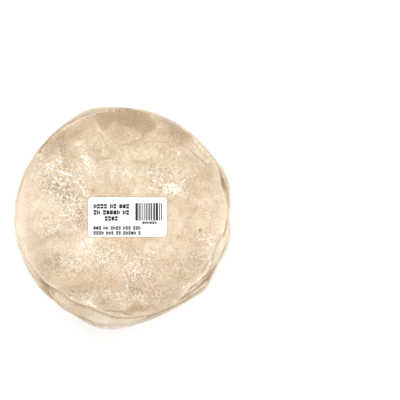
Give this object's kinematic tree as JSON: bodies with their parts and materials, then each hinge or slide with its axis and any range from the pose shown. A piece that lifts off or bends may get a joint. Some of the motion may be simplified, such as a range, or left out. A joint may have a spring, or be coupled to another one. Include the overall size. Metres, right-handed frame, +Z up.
{
  "type": "pack of pita bread",
  "caption": "Stack of thin round pita breads, pale, floured and lightly toasted, pressed flat in a tight clear film, with a small white label on top.",
  "frame": {"origin": "middle of the pack's base, on the surface it stands on", "axes": "+Z up through the stack; +X to the right along the label's lines, as the picture shows them; +Y to the far side, the picture's top"},
  "size_m": [0.1664, 0.171, 0.0569],
  "materials": {
    "bread": "matte",
    "label_paper": "satin",
    "film": "gloss"
  },
  "bodies": {
    "root": {"pita_01": "bread", "pita_02": "bread", "pita_03": "bread", "pita_04": "bread", "pita_05": "bread", "pita_06": "bread", "pita_07": "bread", "pita_08": "bread", "pita_09": "bread", "pita_10": "bread", "pita_11": "bread", "pita_12": "bread", "pita_13": "bread", "pita_14": "bread", "pita_15": "bread", "pita_16": "bread", "pita_17": "bread", "pita_18": "bread", "pita_19": "bread", "pita_20": "bread", "label": "label_paper"}
  },
  "joints": []
}
